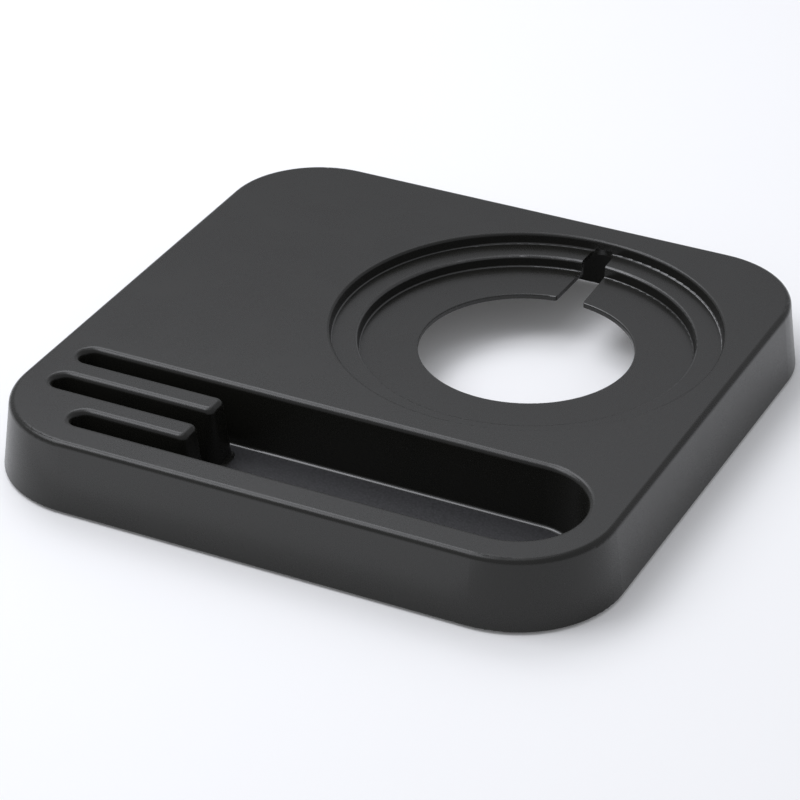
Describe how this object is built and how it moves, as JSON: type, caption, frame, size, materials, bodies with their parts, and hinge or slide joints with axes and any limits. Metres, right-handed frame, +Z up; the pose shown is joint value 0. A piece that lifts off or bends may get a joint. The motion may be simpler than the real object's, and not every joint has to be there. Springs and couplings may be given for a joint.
{
  "type": "counter service tray",
  "caption": "Square moulded counter tray with a stepped round appliance seat, cord notch, deep front trough and standing slots, on rubber feet.",
  "frame": {"origin": "on the counter, under the middle of the tray", "axes": "+Z up; +X along the trough towards its round end; +Y from the trough towards the round seat and its notch"},
  "size_m": [0.3698, 0.3698, 0.0433],
  "materials": {
    "tray_plastic": "fine moulded grain, satin",
    "foot_rubber": "matt"
  },
  "bodies": {
    "root": {"tray_shell": "tray_plastic", "foot_front_left": "foot_rubber", "foot_front_right": "foot_rubber", "foot_back_left": "foot_rubber", "foot_back_right": "foot_rubber"}
  },
  "joints": []
}
